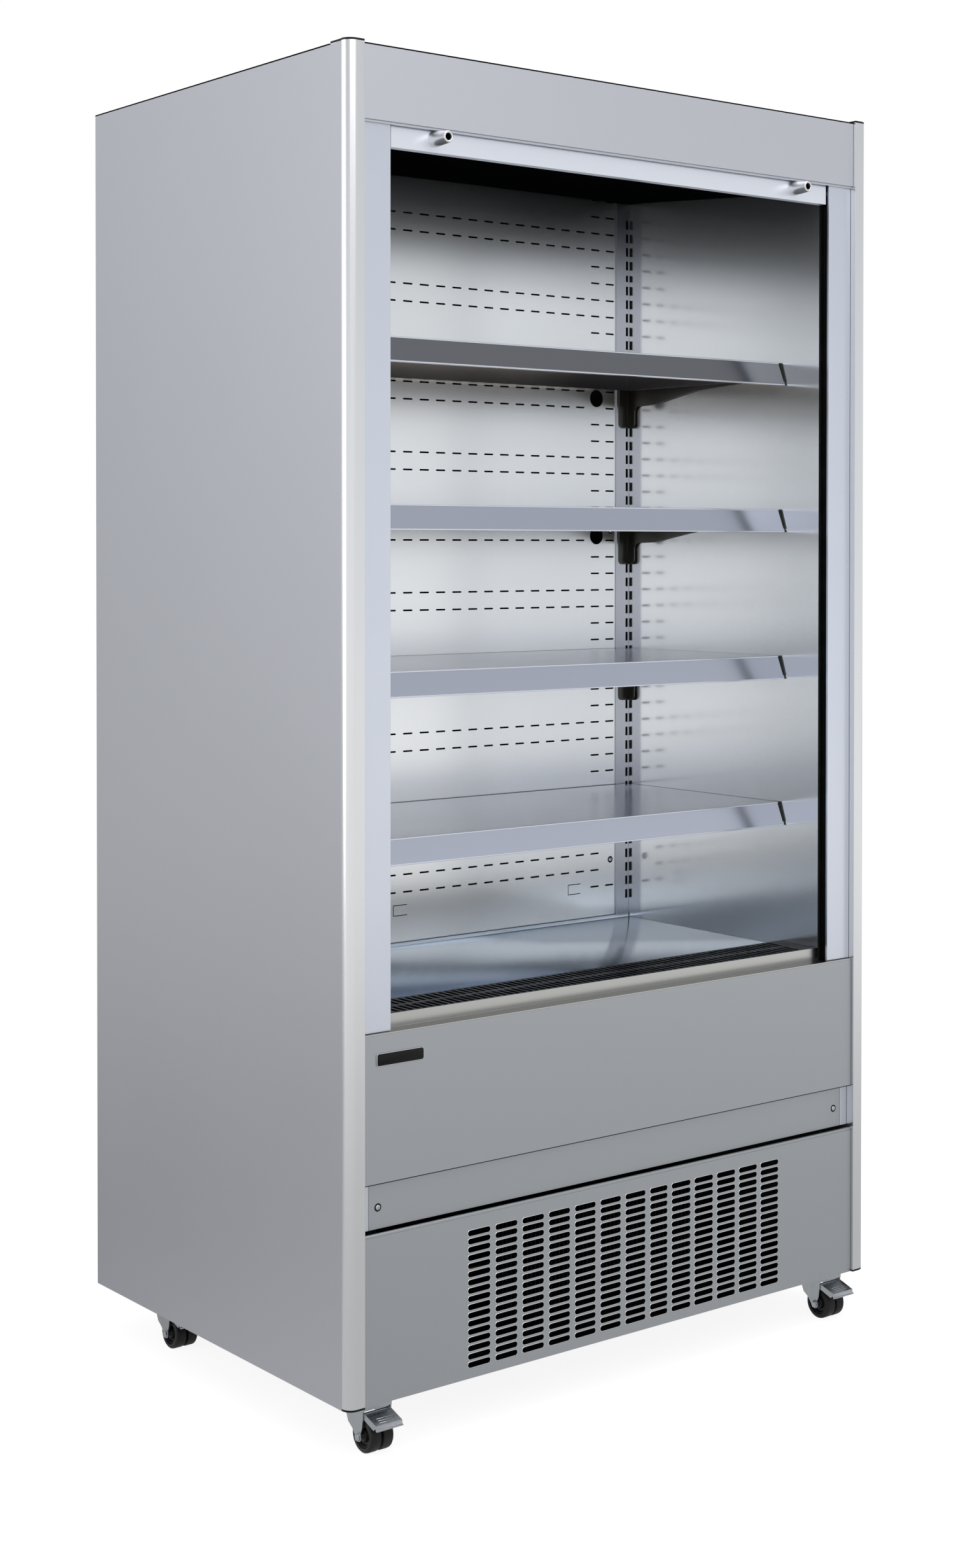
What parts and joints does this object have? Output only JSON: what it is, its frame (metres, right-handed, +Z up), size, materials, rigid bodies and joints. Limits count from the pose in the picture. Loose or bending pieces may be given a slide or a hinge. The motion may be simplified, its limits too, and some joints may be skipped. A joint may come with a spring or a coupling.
{
  "type": "open multideck display fridge",
  "caption": "Open-front upright display fridge with a stainless interior, four shelves, a pull-down night blind and braked castors.",
  "frame": {"origin": "centre of the overall bounding box on the floor plane", "axes": "+X to the viewer's right, the open front faces -Y, +Z up"},
  "size_m": [1.064, 0.751, 2.014],
  "materials": {
    "case_metal": "satin silver-grey coated sheet",
    "post_aluminium": "satin anodised profile",
    "inner_steel": "semi-bright stainless sheet",
    "trim_steel": "bright sheet",
    "bar_aluminium": "satin anodised profile",
    "handle_metal": "bright turned metal",
    "black_plastic": "matt black",
    "black_metal": "satin black coated sheet",
    "grille_plastic": "moulded black",
    "galvanised": "zinc-coated sheet",
    "castor_steel": "zinc-plated pressed steel",
    "castor_rubber": "grey-black tread",
    "foam": "rigid foam, cut faces",
    "copper": "drawn copper pipe",
    "compressor_black": "black enamel",
    "fin_aluminium": "thin fin sheet",
    "fan_plastic": "moulded black",
    "badge_black": "blank gloss black plate",
    "lamp_white": "frosted white diffuser",
    "blind_cloth": "woven aluminised cloth",
    "screw_steel": "bright screw heads"
  },
  "bodies": {
    "cabinet": {"side_panel_left": "case_metal", "side_panel_right": "case_metal", "canopy_panel": "case_metal", "upper_front_panel": "case_metal", "kick_strip": "case_metal", "louvre_panel": "case_metal", "corner_post_left": "post_aluminium", "corner_post_right": "post_aluminium", "post_caps": "black_plastic", "blind_guides": "black_plastic", "top_panel": "black_metal", "ceiling_panel": "black_metal", "rear_panel": "galvanised", "base_frame": "galvanised", "control_box": "galvanised", "blind_brackets": "galvanised", "insulation": "foam", "liner_left": "inner_steel", "liner_right": "inner_steel", "duct_panel_lower": "inner_steel", "duct_panel_upper": "inner_steel", "shelf_uprights": "inner_steel", "well_pan": "inner_steel", "shelf_brackets": "inner_steel", "trim_left": "trim_steel", "trim_right": "trim_steel", "front_ledge": "trim_steel", "badge_plate": "badge_black", "screws": "screw_steel", "castor_plates": "castor_steel", "compressor": "compressor_black", "condenser": "fin_aluminium", "evaporator": "fin_aluminium", "led_lamp": "lamp_white", "refrigerant_pipes": "copper"},
    "deck": {"base_deck": "inner_steel"},
    "air_grille": {"return_grille": "grille_plastic"},
    "shelf_one": {"shelf_1": "inner_steel"},
    "shelf_two": {"shelf_2": "inner_steel"},
    "shelf_three": {"shelf_3": "inner_steel"},
    "shelf_four": {"shelf_4": "inner_steel"},
    "blind_bar": {"pull_bar": "bar_aluminium", "pull_handles": "handle_metal", "blind_fabric": "blind_cloth"},
    "roller": {"blind_roller": "bar_aluminium", "blind_cloth_roll": "blind_cloth"},
    "cooling_fan": {"condenser_fan": "fan_plastic"},
    "air_fan": {"evaporator_fan": "fin_aluminium"},
    "swivel_front_left": {"fork_front_left": "castor_steel"},
    "wheel_front_left": {"wheel_front_left": "castor_rubber"},
    "brake_front_left": {"pedal_front_left": "castor_steel"},
    "swivel_front_right": {"fork_front_right": "castor_steel"},
    "wheel_front_right": {"wheel_front_right": "castor_rubber"},
    "brake_front_right": {"pedal_front_right": "castor_steel"},
    "swivel_rear_left": {"fork_rear_left": "castor_steel"},
    "wheel_rear_left": {"wheel_rear_left": "castor_rubber"},
    "brake_rear_left": {"pedal_rear_left": "castor_steel"},
    "swivel_rear_right": {"fork_rear_right": "castor_steel"},
    "wheel_rear_right": {"wheel_rear_right": "castor_rubber"},
    "brake_rear_right": {"pedal_rear_right": "castor_steel"}
  },
  "joints": [
    {"name": "blind_pull", "type": "slide", "parent": "cabinet", "child": "blind_bar", "axis": [0, 0, -1], "range_m": [0, 1.26], "stiffness_N_per_m": 4, "springref_m": -2, "deforming": ["blind_fabric"]},
    {"name": "roller_spin", "type": "hinge", "parent": "cabinet", "child": "roller", "pos_m": [0, -0.31395, 1.96], "axis": [1, 0, 0], "range_deg": [0, 3795]},
    {"name": "deck_lift", "type": "slide", "parent": "cabinet", "child": "deck", "axis": [0, 0, 1], "range_m": [0, 0.1]},
    {"name": "grille_lift", "type": "slide", "parent": "deck", "child": "air_grille", "axis": [0, 0, 1], "range_m": [0, 0.08]},
    {"name": "shelf_1_lift", "type": "slide", "parent": "cabinet", "child": "shelf_one", "axis": [0, 0, 1], "range_m": [0, 0.05]},
    {"name": "shelf_2_lift", "type": "slide", "parent": "cabinet", "child": "shelf_two", "axis": [0, 0, 1], "range_m": [0, 0.05]},
    {"name": "shelf_3_lift", "type": "slide", "parent": "cabinet", "child": "shelf_three", "axis": [0, 0, 1], "range_m": [0, 0.05]},
    {"name": "shelf_4_lift", "type": "slide", "parent": "cabinet", "child": "shelf_four", "axis": [0, 0, 1], "range_m": [0, 0.05]},
    {"name": "cooling_fan_spin", "type": "hinge", "parent": "cabinet", "child": "cooling_fan", "pos_m": [0, -0.1905, 0.182], "axis": [0, 1, 0], "continuous": true},
    {"name": "air_fan_spin", "type": "hinge", "parent": "cabinet", "child": "air_fan", "pos_m": [0, 0.2375, 0.5524], "axis": [1, 0, 0], "continuous": true},
    {"name": "swivel_front_left", "type": "hinge", "parent": "cabinet", "child": "swivel_front_left", "pos_m": [-0.468, -0.3078, 0.066], "axis": [0, 0, 1], "continuous": true},
    {"name": "roll_front_left", "type": "hinge", "parent": "swivel_front_left", "child": "wheel_front_left", "pos_m": [-0.468, -0.3258, 0.025], "axis": [1, 0, 0], "continuous": true},
    {"name": "brake_front_left", "type": "hinge", "parent": "swivel_front_left", "child": "brake_front_left", "pos_m": [-0.468, -0.3308, 0.057], "axis": [1, 0, 0], "range_deg": [0, 8], "stiffness_Nm_per_rad": 0.6, "springref_deg": -8.59},
    {"name": "swivel_front_right", "type": "hinge", "parent": "cabinet", "child": "swivel_front_right", "pos_m": [0.468, -0.3078, 0.066], "axis": [0, 0, 1], "continuous": true},
    {"name": "roll_front_right", "type": "hinge", "parent": "swivel_front_right", "child": "wheel_front_right", "pos_m": [0.468, -0.3258, 0.025], "axis": [1, 0, 0], "continuous": true},
    {"name": "brake_front_right", "type": "hinge", "parent": "swivel_front_right", "child": "brake_front_right", "pos_m": [0.468, -0.3308, 0.057], "axis": [1, 0, 0], "range_deg": [0, 8], "stiffness_Nm_per_rad": 0.6, "springref_deg": -8.59},
    {"name": "swivel_rear_left", "type": "hinge", "parent": "cabinet", "child": "swivel_rear_left", "pos_m": [-0.468, 0.2352, 0.066], "axis": [0, 0, 1], "continuous": true},
    {"name": "roll_rear_left", "type": "hinge", "parent": "swivel_rear_left", "child": "wheel_rear_left", "pos_m": [-0.468, 0.2172, 0.025], "axis": [1, 0, 0], "continuous": true},
    {"name": "brake_rear_left", "type": "hinge", "parent": "swivel_rear_left", "child": "brake_rear_left", "pos_m": [-0.468, 0.2122, 0.057], "axis": [1, 0, 0], "range_deg": [0, 8], "stiffness_Nm_per_rad": 0.6, "springref_deg": -8.59},
    {"name": "swivel_rear_right", "type": "hinge", "parent": "cabinet", "child": "swivel_rear_right", "pos_m": [0.468, 0.2352, 0.066], "axis": [0, 0, 1], "continuous": true},
    {"name": "roll_rear_right", "type": "hinge", "parent": "swivel_rear_right", "child": "wheel_rear_right", "pos_m": [0.468, 0.2172, 0.025], "axis": [1, 0, 0], "continuous": true},
    {"name": "brake_rear_right", "type": "hinge", "parent": "swivel_rear_right", "child": "brake_rear_right", "pos_m": [0.468, 0.2122, 0.057], "axis": [1, 0, 0], "range_deg": [0, 8], "stiffness_Nm_per_rad": 0.6, "springref_deg": -8.59}
  ],
  "couplings": [
    {"joint": "roller_spin", "follows": "blind_pull", "rad_per_m": 52.5}
  ]
}
